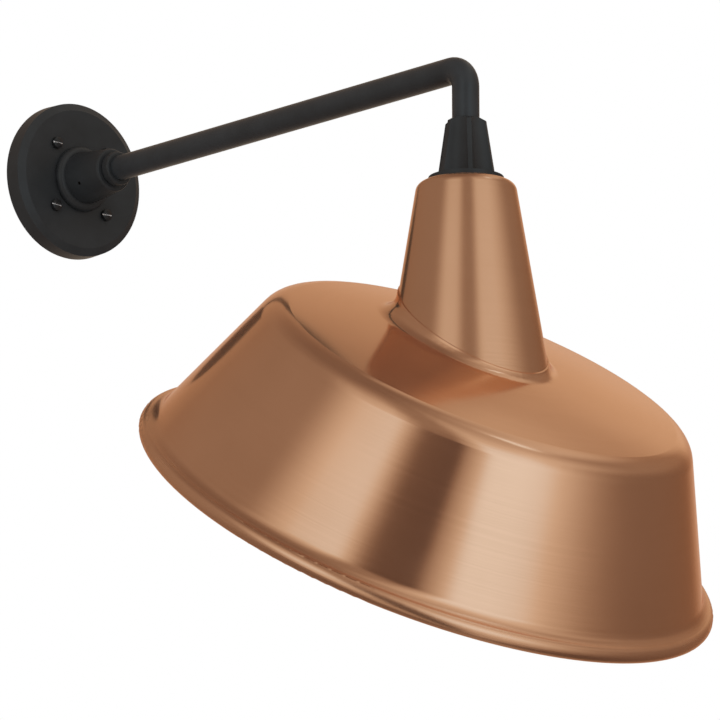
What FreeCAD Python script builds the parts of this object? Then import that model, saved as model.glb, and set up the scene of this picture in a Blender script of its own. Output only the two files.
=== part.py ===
import FreeCAD, Part
import math
import os
from types import SimpleNamespace

import Sketcher
from FreeCAD import Placement, Rotation, Vector

# A wall light of the barn kind: a cast wall plate with a hub, a bent pipe arm, a ribbed hub,
# and a spun copper shade whose tapered neck hangs straight while its dish leans.
# The wall is the plane Y = 0, the arm runs along -Y at Z = 0, and +Z is up.
# The origin is the middle of the wall side of the plate. All lengths are millimetres.

SIZES = {
    # fits shared by several pieces
    "turning_gap": 0.3,
    "seated_gap": 0.05,
    "overrun": 1.0,
    # arm pipe
    "arm_reach": 508.0,
    "pipe_radius": 10.95,
    "pipe_wall": 2.77,
    "bend_radius": 16.2,
    "pipe_insert": 36.0,
    # leads
    "lead_radius": 1.2,
    "lead_spacing": 3.0,
    "lead_setback": 3.0,
    # wall plate
    "gasket_thickness": 1.6,
    "gasket_inset": 0.6,
    "gasket_width": 9.0,
    "plate_radius": 68.9,
    "plate_draft_angle": 2.6,
    "plate_edge": 15.4,
    "plate_face_rise": 3.6,
    "plate_face_radius": 62.2,
    "plate_face_slope": 2.2,
    "plate_wall": 5.0,
    "plate_rim_wall": 8.0,
    "hub_bead_radius": 24.1,
    "hub_bead_section": 5.0,
    "hub_bead_rise": 2.6,
    "barrel_length": 45.6,
    "barrel_front_radius": 19.2,
    "barrel_taper": 6.2,
    "barrel_rounding": 2.2,
    # wall screws
    "screw_circle_radius": 40.0,
    "screw_head_radius": 5.0,
    "screw_head_height": 4.6,
    "screw_head_edge": 3.4,
    "screw_shank_radius": 2.6,
    "screw_thread_radius": 2.1,
    "screw_stand_out": 24.0,
    "screw_tip": 4.0,
    "screw_slot_width": 1.6,
    "screw_slot_depth": 2.2,
    "screw_recess": 1.1,
    "boss_radius": 7.4,
    # set screws and the earth screw
    "set_screw_radius": 1.5,
    "set_screw_socket": 0.75,
    "set_screw_sunk": 0.2,
    "hub_screw_depth": 39.4,
    "hub_screw_angle": 209.5,
    "earth_screw_radius": 2.0,
    "earth_screw_length": 2.8,
    "earth_screw_drop": 34.0,
    "earth_head_radius": 3.8,
    "earth_head_height": 2.4,
    "earth_slot_width": 1.0,
    # lock ring on the arm
    "lock_ring_radius": 14.9,
    "lock_ring_length": 8.4,
    "lock_ring_rounding": 2.0,
    "lock_ring_back_rounding": 1.4,
    # ribbed hub over the shade
    "shade_turn": -5.6,
    "ribbed_top": 43.6,
    "ribbed_top_radius": 13.0,
    "ribbed_top_slope": 2.4,
    "rib_top_radius": 16.9,
    "rib_bottom_radius": 24.0,
    "rib_height": 44.9,
    "rib_width": 3.4,
    "panel_top_radius": 13.3,
    "panel_bottom_radius": 18.0,
    "socket_depth": 28.7,
    "flange_radius": 30.0,
    "flange_thickness": 3.5,
    "lock_boss_radius": 5.2,
    "lock_boss_reach": 18.6,
    "lock_boss_drop": 9.6,
    # what clamps the neck
    "neck_gasket_thickness": 0.8,
    "nipple_radius": 8.3,
    "nipple_bore": 6.3,
    "nipple_in_hub": 15.0,
    "nipple_end": 4.6,
    "washer_radius": 16.0,
    "washer_thickness": 1.5,
    "locknut_width": 25.0,
    "locknut_thickness": 5.0,
    # copper neck
    "sheet": 1.0,
    "neck_top_radius": 39.2,
    "neck_half_angle": 9.3,
    "neck_shoulder": 8.0,
    "neck_overlap": 9.0,
    # copper dish
    "dish_tilt": 33.5,
    "dish_drop": 212.2,
    "dish_offset": 36.4,
    "crown_radius": 160.5,
    "crown_drop": 17.7,
    "crown_edge_slope": 8.5,
    "shoulder_radius": 24.3,
    "skirt_slope": 65.4,
    "skirt_length": 116.3,
    "rim_cove_radius": 5.8,
    "rim_bead_section": 6.7,
    "rim_lip_angle": 128.0,
    "seam_drop": 206.8,
    "seam_tilt": 38.1,
    "collar_gap": 0.1,
    "collar_fillet": 12.0,
    # lampholder
    "cap_clearance": 0.5,
    "cap_radius": 22.5,
    "cap_wall": 1.2,
    "cap_height": 14.0,
    "cap_rounding": 5.0,
    "porcelain_ledge": 1.6,
    "porcelain_ledge_height": 5.0,
    "porcelain_height": 52.5,
    "porcelain_mouth_radius": 20.4,
    "porcelain_mouth_rounding": 2.0,
    "porcelain_cavity": 14.9,
    "porcelain_floor": 20.5,
    "lead_hole_depth": 14.0,
    "holder_thread_radius": 13.85,
    "holder_thread_turns": 7,
    "thread_pitch": 3.63,
    "thread_height": 0.4,
    "shell_sheet": 0.35,
    "holder_flange_width": 3.0,
    "contact_width": 6.0,
    "contact_sheet": 0.6,
    "contact_reach": 8.8,
    "contact_height": 5.0,
    # bulb
    "bulb_thread_turns": 5,
    "bulb_contact_radius": 4.8,
    "bulb_contact_height": 1.5,
    "insulator_height": 4.4,
    "glass_neck_radius": 11.8,
    "glass_wall": 0.8,
    "glass_radius": 33.3,
    "glass_in_shell": 8.0,
    "glass_drop": 68.0,
    "glass_fillet": 60.0,
    "glass_slope": 30.0,
    "stem_radius": 4.6,
    "stem_length": 34.0,
    "stem_flare": 9.0,
    "filament_radius": 0.45,
    "filament_half_width": 3.2,
    "filament_length": 26.0,
}

RIB_COUNT = 6
HEX_SIDES = 6
# How far each wall screw's slot is turned from level, in degrees, as the wall left them.
SLOT_TURNS = (6, 2, -1, 4)
# Half the width of what is cut away above the seam, as a share of the crown's radius.
SEAM_TRIM_SHARE = 0.7

doc = FreeCAD.newDocument("barn_light")
sheet = doc.addObject("Spreadsheet::Sheet", "Sizes")


class Size:
    """A number together with the sheet expression that gives it."""

    def __init__(self, number, text):
        self.number = number
        self.text = text

    def __add__(self, other):
        other = as_size(other)
        return Size(self.number + other.number, f"({self.text} + {other.text})")

    def __sub__(self, other):
        other = as_size(other)
        return Size(self.number - other.number, f"({self.text} - {other.text})")

    def __mul__(self, other):
        other = as_size(other)
        return Size(self.number * other.number, f"({self.text} * {other.text})")

    def __truediv__(self, other):
        other = as_size(other)
        return Size(self.number / other.number, f"({self.text} / {other.text})")

    def __neg__(self):
        return Size(-self.number, f"(0 - {self.text})")

    def __radd__(self, other):
        return as_size(other) + self

    def __rsub__(self, other):
        return as_size(other) - self

    def __rmul__(self, other):
        return as_size(other) * self


def as_size(value):
    """A plain number as a Size."""
    if isinstance(value, Size):
        return value
    return Size(float(value), f"({float(value)})")


def sine(angle):
    return Size(math.sin(math.radians(angle.number)), f"sin({angle.text})")


def cosine(angle):
    return Size(math.cos(math.radians(angle.number)), f"cos({angle.text})")


def tangent(angle):
    return Size(math.tan(math.radians(angle.number)), f"tan({angle.text})")


def fill_sheet():
    """Put every driving size in the sheet and give it back by name."""
    named = {}
    for row, (name, number) in enumerate(SIZES.items(), start=1):
        sheet.set(f"A{row}", name)
        sheet.set(f"B{row}", str(number))
        sheet.setAlias(f"B{row}", name)
        named[name] = Size(float(number), f"Sizes.{name}")
    doc.recompute()
    return SimpleNamespace(**named)


S = fill_sheet()
ZERO = as_size(0)

# Sketch helpers


def origin_feature(owner, role):
    """A body's own origin plane or axis."""
    for feature in owner.Origin.OriginFeatures:
        if feature.Role == role:
            return feature
    raise ValueError(role)


def place_point(sketch, edge, position, x, y):
    """Hold one point of an edge at sheet-driven coordinates."""
    for kind, value, axis in (("DistanceX", x, -2), ("DistanceY", y, -1)):
        if value.number == 0:
            sketch.addConstraint(Sketcher.Constraint("PointOnObject", edge, position, axis))
            continue
        rule = Sketcher.Constraint(kind, -1, 1, edge, position, value.number)
        index = sketch.addConstraint(rule)
        sketch.setExpression(f"Constraints[{index}]", value.text)


def bind_radius(sketch, edge, radius):
    index = sketch.addConstraint(Sketcher.Constraint("Radius", edge, radius.number))
    sketch.setExpression(f"Constraints[{index}]", radius.text)


def arc_between(start, end, radius, turn):
    """The arc of under half a circle from start to end; turn is 1 to the left, -1 to the right."""
    chord = end - start
    half = chord.Length / 2
    side = Vector(-chord.y, chord.x, 0).normalize()
    centre = (start + end) / 2 + side * turn * math.sqrt(max(radius * radius - half * half, 0))
    angles = [math.atan2(point.y - centre.y, point.x - centre.x) for point in (start, end)]
    if turn < 0:
        angles.reverse()
    circle = Part.Circle(centre, Vector(0, 0, 1), radius)
    return Part.ArcOfCircle(circle, angles[0], angles[1])


def draw_edges(sketch, corners, closed):
    """Lines and arcs from corner to corner. A corner is (x, y) or (x, y, radius, turn).

    The radius and turn bend the edge that ends at that corner.
    """
    corners = [tuple(as_size(value) for value in corner[:3]) + tuple(corner[3:]) for corner in corners]
    points = [Vector(corner[0].number, corner[1].number, 0) for corner in corners]
    last = len(corners) if closed else len(corners) - 1
    ends = []
    for index in range(last):
        following = (index + 1) % len(corners)
        target = corners[following]
        if len(target) == 2:
            edge = sketch.addGeometry(Part.LineSegment(points[index], points[following]), False)
            ends.append((edge, 1, 2))
            continue
        radius, turn = target[2], target[3]
        arc = arc_between(points[index], points[following], radius.number, turn)
        edge = sketch.addGeometry(arc, False)
        ends.append((edge, 1, 2) if turn > 0 else (edge, 2, 1))
        bind_radius(sketch, edge, radius)
    for index, (edge, start, end) in enumerate(ends):
        if index + 1 < len(ends) or closed:
            other, other_start, _ = ends[(index + 1) % len(ends)]
            sketch.addConstraint(Sketcher.Constraint("Coincident", edge, end, other, other_start))
        place_point(sketch, edge, start, corners[index][0], corners[index][1])
    if not closed:
        edge, _, end = ends[-1]
        place_point(sketch, edge, end, corners[-1][0], corners[-1][1])


def draw_circle(sketch, x, y, radius):
    x, y, radius = as_size(x), as_size(y), as_size(radius)
    centre = Vector(x.number, y.number, 0)
    circle = Part.Circle(centre, Vector(0, 0, 1), radius.number)
    edge = sketch.addGeometry(circle, False)
    bind_radius(sketch, edge, radius)
    if x.number == 0 and y.number == 0:
        sketch.addConstraint(Sketcher.Constraint("Coincident", edge, 3, -1, 1))
        return
    place_point(sketch, edge, 3, x, y)


def new_sketch(owner, plane, name, lift=None):
    """An empty sketch on one of the body's own planes, lifted along the plane's normal."""
    sketch = owner.newObject("Sketcher::SketchObject", name)
    sketch.AttachmentSupport = [(origin_feature(owner, plane), "")]
    sketch.MapMode = "FlatFace"
    if lift is not None:
        sketch.AttachmentOffset = Placement(Vector(0, 0, lift.number), Rotation())
        sketch.setExpression("AttachmentOffset.Base.z", lift.text)
    return sketch


def outline(owner, plane, name, corners, lift=None):
    sketch = new_sketch(owner, plane, name, lift)
    draw_edges(sketch, corners, True)
    return sketch


def route(owner, plane, name, corners, lift=None):
    sketch = new_sketch(owner, plane, name, lift)
    draw_edges(sketch, corners, False)
    return sketch


def circles(owner, plane, name, places, radii, lift=None):
    sketch = new_sketch(owner, plane, name, lift)
    for x, y in places:
        for radius in radii:
            draw_circle(sketch, x, y, radius)
    return sketch


# Feature helpers


def new_body(name):
    body = doc.addObject("PartDesign::Body", name)
    body.Label = name
    return body


def turned(owner, kind, name, sketch, axis="V_Axis"):
    """A Revolution or a Groove of a full turn."""
    feature = owner.newObject("PartDesign::" + kind, name)
    feature.Profile = sketch
    feature.ReferenceAxis = (sketch, [axis])
    feature.Angle = 360
    return feature


def padded(owner, kind, name, sketch, length=None, both_ways=False):
    """A Pad or a Pocket; without a length it goes through everything."""
    feature = owner.newObject("PartDesign::" + kind, name)
    feature.Profile = sketch
    if length is None:
        feature.Type = "ThroughAll"
    else:
        feature.setExpression("Length", length.text)
    feature.Midplane = both_ways
    return feature


def piped(owner, name, profile, spine):
    feature = owner.newObject("PartDesign::AdditivePipe", name)
    feature.Profile = profile
    feature.Spine = (spine, [])
    return feature


def rounded(owner, name, edges, radius):
    """A fillet on named edges of the body as it stands."""
    base = owner.Tip
    feature = owner.newObject("PartDesign::Fillet", name)
    feature.Base = (base, edges)
    feature.setExpression("Radius", radius.text)
    return feature


def rod(owner, kind, name, radius, length, start, direction):
    """An AdditiveCylinder or SubtractiveCylinder from a start point along a direction."""
    feature = owner.newObject("PartDesign::" + kind, name)
    feature.setExpression("Radius", radius.text)
    feature.setExpression("Height", length.text)
    feature.Placement = Placement(start, Rotation(Vector(0, 0, 1), direction))
    return feature


def hang_on_arm(body):
    """Give a shade piece, drawn about the vertical pipe's axis, its place under the arm."""
    turn = Rotation(Vector(0, 0, 1), S.shade_turn.number)
    body.Placement = Placement(Vector(0, -S.arm_reach.number, 0), turn)
    body.setExpression("Placement.Base.y", (-S.arm_reach).text)


def ring(name, inner, outer, top, thickness):
    """A flat ring about the vertical axis, hung on the arm."""
    body = new_body(name)
    corners = [(inner, top), (outer, top), (outer, top - thickness), (inner, top - thickness)]
    turned(body, "Revolution", name + "_form", outline(body, "XZ_Plane", name + "_outline", corners))
    hang_on_arm(body)
    return body


# Levels and radii that follow from the driving sizes

pipe_bore = S.pipe_radius - S.pipe_wall
hub_bore = S.pipe_radius + S.turning_gap
plate_face = S.plate_edge + S.plate_face_rise
plate_floor = plate_face - S.plate_wall
plate_back_radius = S.plate_radius + tangent(S.plate_draft_angle) * (S.plate_edge - S.gasket_thickness)
cavity_radius = S.plate_radius - S.plate_rim_wall
barrel_front = plate_face + S.barrel_length
barrel_growth = tangent(S.barrel_taper) * (S.barrel_length - S.barrel_rounding)
barrel_base_radius = S.barrel_front_radius + barrel_growth
hub_face = plate_face - tangent(S.plate_face_slope) * (S.plate_face_radius - S.hub_bead_radius)
pipe_start = barrel_front - S.pipe_insert
screw_offset = S.screw_circle_radius * math.sqrt(0.5)
ribbed_shoulder = S.ribbed_top + S.ribbed_top_slope
flange_top = ribbed_shoulder + S.rib_height
flange_bottom = flange_top + S.flange_thickness
socket_floor = S.ribbed_top + S.socket_depth
pipe_end = socket_floor - S.turning_gap
neck_top = flange_bottom + S.neck_gasket_thickness
washer_top = neck_top + S.sheet
locknut_top = washer_top + S.washer_thickness
locknut_bottom = locknut_top + S.locknut_thickness
cap_top = locknut_bottom + S.cap_clearance
nipple_bottom = cap_top + S.nipple_end
porcelain_top = nipple_bottom + S.cap_clearance
porcelain_ledge_top = cap_top + S.cap_height
porcelain_mouth = porcelain_top + S.porcelain_height
porcelain_floor = porcelain_top + S.porcelain_floor
contact_tip = porcelain_floor + S.contact_height
bulb_tip = contact_tip + S.turning_gap
insulator_top = bulb_tip + S.bulb_contact_height
bulb_shell_top = insulator_top + S.insulator_height
bulb_shell_length = S.thread_pitch * S.bulb_thread_turns
bulb_shell_bottom = bulb_shell_top + bulb_shell_length
bulb_thread_radius = (
    S.holder_thread_radius - S.thread_height * 2 - S.shell_sheet - S.turning_gap
)
nipple_hole = S.nipple_radius + S.seated_gap


# Wall side


def make_wall_gasket():
    body = new_body("wall_gasket")
    outer = plate_back_radius - S.gasket_inset
    inner = outer - S.gasket_width
    corners = [
        (inner, ZERO),
        (outer, ZERO),
        (outer, -S.gasket_thickness),
        (inner, -S.gasket_thickness),
    ]
    turned(body, "Revolution", "gasket_form", outline(body, "XY_Plane", "gasket_outline", corners))
    return body


def screw_places():
    """Where the wall screws stand, as X and Z."""
    return [(screw_offset * i, screw_offset * k) for i in (-1, 1) for k in (-1, 1)]


def make_wall_plate():
    """A cast disc, open at the back, with a bead and a tapered barrel that takes the pipe.

    Its edge leans in a little towards the front and its face is dished towards the hub.
    """
    body = new_body("wall_plate")
    corners = [
        (cavity_radius, -S.gasket_thickness),
        (plate_back_radius, -S.gasket_thickness),
        (S.plate_radius, -S.plate_edge),
        (S.plate_face_radius, -plate_face),
        (S.hub_bead_radius, -hub_face),
        (barrel_base_radius, -hub_face),
        (S.barrel_front_radius, S.barrel_rounding - barrel_front),
        (S.barrel_front_radius - S.barrel_rounding, -barrel_front, S.barrel_rounding, -1),
        (hub_bore, -barrel_front),
        (hub_bore, -plate_floor),
        (cavity_radius, -plate_floor),
    ]
    turned(body, "Revolution", "plate_form", outline(body, "XY_Plane", "plate_outline", corners))
    bead = circles(
        body,
        "XY_Plane",
        "bead_section",
        [(S.hub_bead_radius, -hub_face - S.hub_bead_rise)],
        [S.hub_bead_section],
    )
    turned(body, "Revolution", "hub_bead", bead)
    bosses = circles(
        body, "XZ_Plane", "boss_circles", screw_places(), [S.boss_radius], S.gasket_thickness
    )
    padded(body, "Pad", "screw_bosses", bosses, plate_floor - S.gasket_thickness + S.overrun)
    recesses = circles(
        body,
        "XZ_Plane",
        "recess_circles",
        screw_places(),
        [S.screw_head_radius + S.turning_gap],
        plate_face,
    )
    padded(body, "Pocket", "screw_recesses", recesses, S.screw_recess)
    holes = circles(
        body,
        "XZ_Plane",
        "screw_hole_circles",
        screw_places(),
        [S.screw_shank_radius + S.turning_gap],
        plate_face,
    )
    padded(body, "Pocket", "screw_holes", holes, plate_face)
    rod(
        body,
        "SubtractiveCylinder",
        "set_screw_hole",
        S.set_screw_radius + S.seated_gap,
        barrel_base_radius + S.overrun,
        Vector(0, -S.hub_screw_depth.number, 0),
        hub_screw_direction(),
    )
    rod(
        body,
        "SubtractiveCylinder",
        "earth_screw_hole",
        S.earth_screw_radius + S.seated_gap,
        S.earth_screw_length,
        Vector(0, -plate_floor.number, -S.earth_screw_drop.number),
        Vector(0, -1, 0),
    )
    return body


def hub_screw_direction():
    angle = math.radians(S.hub_screw_angle.number)
    return Vector(math.cos(angle), 0, math.sin(angle))


def make_wall_screw(number, x, z):
    """A round-head screw with a turned slot; its thread stands out behind the plate."""
    name = f"wall_screw_{number}"
    seat = plate_face - S.screw_recess
    top = seat + S.screw_head_height
    edge = seat + S.screw_head_edge
    dome = S.screw_head_height - S.screw_head_edge
    dome_radius = (S.screw_head_radius * S.screw_head_radius + dome * dome) / (dome * 2)
    sketch = doc.addObject("Sketcher::SketchObject", name + "_outline")
    corners = [
        (ZERO, S.screw_stand_out),
        (S.screw_thread_radius, S.screw_stand_out - S.screw_tip),
        (S.screw_thread_radius, ZERO),
        (S.screw_shank_radius, ZERO),
        (S.screw_shank_radius, -seat),
        (S.screw_head_radius, -seat),
        (S.screw_head_radius, -edge),
        (ZERO, -top, dome_radius, -1),
    ]
    draw_edges(sketch, corners, True)
    form = doc.addObject("Part::Revolution", name + "_form")
    form.Source = sketch
    form.Axis = Vector(0, 1, 0)
    form.Angle = 360
    form.Solid = True
    slot = doc.addObject("Part::Box", name + "_slot")
    slot.setExpression("Length", (S.screw_head_radius * 2 + S.overrun * 2).text)
    slot.setExpression("Width", (S.screw_slot_depth + S.overrun).text)
    slot.setExpression("Height", S.screw_slot_width.text)
    slot.setExpression("Placement.Base.x", (-S.screw_head_radius - S.overrun).text)
    slot.setExpression("Placement.Base.y", (-top - S.overrun).text)
    slot.setExpression("Placement.Base.z", (-S.screw_slot_width / 2).text)
    screw = doc.addObject("Part::Cut", name)
    screw.Base = form
    screw.Tool = slot
    screw.Placement = Placement(Vector(), Rotation(Vector(0, 1, 0), SLOT_TURNS[number]))
    screw.setExpression("Placement.Base.x", x.text)
    screw.setExpression("Placement.Base.z", z.text)
    return screw


def make_wall_screws():
    screws = [make_wall_screw(index, x, z) for index, (x, z) in enumerate(screw_places())]
    group = doc.addObject("Part::Compound", "wall_screws")
    group.Label = "wall_screws"
    group.Links = screws
    return group


def make_set_screw(name, inner, outer, start, direction):
    """A headless screw from radius inner to radius outer, with a socket in its outer end."""
    body = new_body(name)
    length = outer - inner
    tip = start + direction * inner.number
    rod(body, "AdditiveCylinder", name + "_form", S.set_screw_radius, length, tip, direction)
    base = start + direction * (outer - S.set_screw_socket).number
    depth = S.set_screw_socket + S.overrun
    rod(body, "SubtractiveCylinder", name + "_socket", S.set_screw_socket, depth, base, direction)
    return body


def make_hub_set_screw():
    growth = tangent(S.barrel_taper) * (barrel_front - S.barrel_rounding - S.hub_screw_depth)
    surface = S.barrel_front_radius + growth
    start = Vector(0, -S.hub_screw_depth.number, 0)
    outer = surface - S.set_screw_sunk
    return make_set_screw("hub_set_screw", hub_bore, outer, start, hub_screw_direction())


def make_earth_screw():
    body = new_body("earth_screw")
    drop = -S.earth_screw_drop
    shank = circles(body, "XZ_Plane", "earth_shank_circle", [(ZERO, drop)], [S.earth_screw_radius], plate_floor)
    padded(body, "Pad", "earth_shank", shank, S.earth_screw_length)
    level = plate_floor - S.earth_head_height
    head = circles(body, "XZ_Plane", "earth_head_circle", [(ZERO, drop)], [S.earth_head_radius], level)
    padded(body, "Pad", "earth_head", head, S.earth_head_height)
    half = S.earth_slot_width / 2
    reach = S.earth_head_radius + S.overrun
    corners = [(-reach, drop - half), (reach, drop - half), (reach, drop + half), (-reach, drop + half)]
    slot = outline(body, "XZ_Plane", "earth_slot_outline", corners, level)
    cut = padded(body, "Pocket", "earth_slot", slot, S.earth_slot_width)
    cut.Reversed = True
    return body


# Arm


def make_arm_tube():
    """One pipe: level from the wall hub, a tight quarter bend, and down into the ribbed hub."""
    body = new_body("arm_tube")
    bend_start = S.arm_reach - S.bend_radius
    spine = route(
        body,
        "YZ_Plane",
        "arm_route",
        [
            (-pipe_start, ZERO),
            (-bend_start, ZERO),
            (-S.arm_reach, -S.bend_radius, S.bend_radius, 1),
            (-S.arm_reach, -pipe_end),
        ],
    )
    section = circles(
        body, "XZ_Plane", "pipe_section", [(ZERO, ZERO)], [S.pipe_radius, pipe_bore], pipe_start
    )
    piped(body, "pipe", section, spine)
    return body


def make_arm_lead(name, side):
    """A lead inside the pipe, beside its middle line, from the plate to the shade's hub."""
    body = new_body(name)
    beside = S.lead_spacing * side
    spine = route(
        body,
        "YZ_Plane",
        name + "_route",
        [
            (-S.lead_setback, ZERO),
            (S.bend_radius - S.arm_reach, ZERO),
            (-S.arm_reach, -S.bend_radius, S.bend_radius, 1),
            (-S.arm_reach, -pipe_end),
        ],
        beside,
    )
    section = circles(
        body, "XZ_Plane", name + "_section", [(beside, ZERO)], [S.lead_radius], S.lead_setback
    )
    piped(body, name + "_wire", section, spine)
    return body


def make_lock_ring():
    """The ring on the pipe that closes the barrel's mouth."""
    body = new_body("arm_lock_ring")
    back = barrel_front + S.turning_gap
    front = back + S.lock_ring_length
    bore = S.pipe_radius + S.seated_gap
    corners = [
        (bore, -back),
        (S.lock_ring_radius - S.lock_ring_back_rounding, -back),
        (S.lock_ring_radius, -back - S.lock_ring_back_rounding, S.lock_ring_back_rounding, -1),
        (S.lock_ring_radius, S.lock_ring_rounding - front),
        (S.lock_ring_radius - S.lock_ring_rounding, -front, S.lock_ring_rounding, -1),
        (bore, -front),
    ]
    turned(body, "Revolution", "ring_form", outline(body, "XY_Plane", "ring_outline", corners))
    return body


# Ribbed hub and what clamps the neck under it


def flute_circle(rib_radius, panel_radius):
    """Distance and radius of the circle that hollows the panel between two ribs."""
    half_rib = S.rib_width / 2
    half_pitch = as_size(180 / RIB_COUNT)
    rib_side = cosine(half_pitch) * rib_radius + sine(half_pitch) * half_rib
    distance = (rib_radius * rib_radius - panel_radius * panel_radius) / (
        (rib_side - panel_radius) * 2
    )
    return distance, distance - panel_radius


def make_ribbed_hub():
    body = new_body("ribbed_hub")
    corners = [
        (hub_bore, -S.ribbed_top),
        (S.ribbed_top_radius, -S.ribbed_top),
        (S.rib_top_radius, -ribbed_shoulder),
        (S.rib_bottom_radius, -flange_top),
        (S.flange_radius, -flange_top),
        (S.flange_radius, -flange_bottom),
        (nipple_hole, -flange_bottom),
        (nipple_hole, -socket_floor),
        (hub_bore, -socket_floor),
    ]
    turned(body, "Revolution", "hub_form", outline(body, "XZ_Plane", "hub_outline", corners))
    top_distance, top_radius = flute_circle(S.rib_top_radius, S.panel_top_radius)
    low_distance, low_radius = flute_circle(S.rib_bottom_radius, S.panel_bottom_radius)
    above = (S.ribbed_top_slope + S.overrun) / S.rib_height
    high_distance = top_distance + (top_distance - low_distance) * above
    high_radius = top_radius + (top_radius - low_radius) * above
    upper = circles(
        body,
        "XY_Plane",
        "flute_top",
        [(ZERO, -high_distance)],
        [high_radius],
        S.overrun - S.ribbed_top,
    )
    lower = circles(
        body, "XY_Plane", "flute_bottom", [(ZERO, -low_distance)], [low_radius], -flange_top
    )
    doc.recompute()
    flute = body.newObject("PartDesign::SubtractiveLoft", "flute")
    flute.Profile = upper
    flute.Sections = [lower]
    pattern = body.newObject("PartDesign::PolarPattern", "flutes")
    pattern.Originals = [flute]
    pattern.Axis = (origin_feature(body, "Z_Axis"), [""])
    pattern.Angle = 360
    pattern.Occurrences = RIB_COUNT
    body.Tip = pattern
    height = -(S.ribbed_top + S.lock_boss_drop).number
    start = Vector(0, S.panel_top_radius.number - S.overrun.number, height)
    reach = S.lock_boss_reach - S.panel_top_radius + S.overrun
    rod(body, "AdditiveCylinder", "lock_boss", S.lock_boss_radius, reach, start, Vector(0, 1, 0))
    rod(
        body,
        "SubtractiveCylinder",
        "lock_hole",
        S.set_screw_radius + S.seated_gap,
        S.lock_boss_reach + S.overrun,
        Vector(0, 0, height),
        Vector(0, 1, 0),
    )
    hang_on_arm(body)
    return body


def make_lock_screw():
    height = -(S.ribbed_top + S.lock_boss_drop).number
    outer = S.lock_boss_reach - S.set_screw_sunk
    body = make_set_screw(
        "ribbed_hub_screw", hub_bore, outer, Vector(0, 0, height), Vector(0, 1, 0)
    )
    hang_on_arm(body)
    return body


def make_locknut():
    body = new_body("neck_locknut")
    corner = S.locknut_width / (cosine(as_size(180 / HEX_SIDES)) * 2)
    corners = []
    for k in range(HEX_SIDES):
        turn = math.radians(360 * k / HEX_SIDES)
        on_axis = k % (HEX_SIDES // 2) == 0
        corners.append((corner * math.cos(turn), ZERO if on_axis else corner * math.sin(turn)))
    sketch = new_sketch(body, "XY_Plane", "locknut_outline", -locknut_bottom)
    draw_edges(sketch, corners, True)
    draw_circle(sketch, ZERO, ZERO, nipple_hole)
    padded(body, "Pad", "locknut_form", sketch, S.locknut_thickness)
    hang_on_arm(body)
    return body


def make_clamp_pieces():
    ring(
        "neck_gasket",
        nipple_hole,
        S.flange_radius - S.gasket_inset,
        -flange_bottom,
        S.neck_gasket_thickness,
    )
    nipple_top = flange_bottom - S.nipple_in_hub
    ring(
        "neck_nipple",
        S.nipple_bore,
        S.nipple_radius,
        -nipple_top,
        nipple_bottom - nipple_top,
    )
    ring("neck_washer", nipple_hole, S.washer_radius, -washer_top, S.washer_thickness)
    make_locknut()


# Copper shade


def make_shade_neck():
    """A tapered neck with a rounded top, cut off along the dish's slant below the seam."""
    body = new_body("shade_neck")
    slope = tangent(S.neck_half_angle)
    rise = 1 - sine(S.neck_half_angle)
    round_middle = (
        S.neck_top_radius + slope * S.neck_shoulder * rise - S.neck_shoulder * cosine(S.neck_half_angle)
    )
    across = S.sheet / cosine(S.neck_half_angle)
    inside_round = S.neck_shoulder - S.sheet
    tangent_x = cosine(S.neck_half_angle)
    tangent_z = sine(S.neck_half_angle)
    round_level = -neck_top - S.neck_shoulder
    bottom = seam_low_level()
    bottom_radius = S.neck_top_radius + slope * (bottom - neck_top)
    corners = [
        (nipple_hole, -neck_top),
        (round_middle, -neck_top),
        (
            round_middle + tangent_x * S.neck_shoulder,
            round_level + tangent_z * S.neck_shoulder,
            S.neck_shoulder,
            -1,
        ),
        (bottom_radius, -bottom),
        (bottom_radius - across, -bottom),
        (round_middle + tangent_x * inside_round, round_level + tangent_z * inside_round),
        (round_middle, -neck_top - S.sheet, inside_round, 1),
        (nipple_hole, -neck_top - S.sheet),
    ]
    turned(body, "Revolution", "neck_form", outline(body, "XZ_Plane", "neck_outline", corners))
    reach = bottom_radius * 2
    fall = tangent(S.seam_tilt)
    middle = -S.seam_drop - S.neck_overlap / cosine(S.seam_tilt)
    cut_corners = [
        (-reach, middle - fall * reach),
        (reach, middle + fall * reach),
        (reach, -bottom * 2),
        (-reach, -bottom * 2),
    ]
    cut = outline(body, "YZ_Plane", "neck_cut_outline", cut_corners)
    padded(body, "Pocket", "neck_cut", cut, None, True)
    hang_on_arm(body)
    return body


def seam_low_level():
    """A level below the lowest point of the neck's slanted end."""
    slope = tangent(S.neck_half_angle)
    fall = tangent(S.seam_tilt)
    level_radius = S.neck_top_radius + slope * (S.seam_drop - neck_top)
    lowest = S.seam_drop + fall * level_radius / (1 - fall * slope)
    return lowest + S.neck_overlap * 2


def dish_outline(inset, below):
    """The crown, shoulder and skirt from the axis to the skirt's end, moved inward by inset."""
    dome = S.crown_radius / sine(S.crown_edge_slope)
    dome_centre = -S.crown_drop - dome * cosine(S.crown_edge_slope)
    dome_radius = dome - inset
    shoulder_x = S.crown_radius - S.shoulder_radius * sine(S.crown_edge_slope)
    shoulder_z = -S.crown_drop - S.shoulder_radius * cosine(S.crown_edge_slope)
    round_radius = S.shoulder_radius - inset
    start_x = shoulder_x + round_radius * sine(S.crown_edge_slope)
    start_z = shoulder_z + round_radius * cosine(S.crown_edge_slope)
    skirt_x = shoulder_x + round_radius * sine(S.skirt_slope)
    skirt_z = shoulder_z + round_radius * cosine(S.skirt_slope)
    end_x = skirt_x + (S.skirt_length + below) * cosine(S.skirt_slope)
    end_z = skirt_z - (S.skirt_length + below) * sine(S.skirt_slope)
    return [
        (ZERO, dome_centre + dome_radius),
        (start_x, start_z, dome_radius, -1),
        (skirt_x, skirt_z, round_radius, -1),
        (end_x, end_z),
        (ZERO, end_z),
    ]


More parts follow.
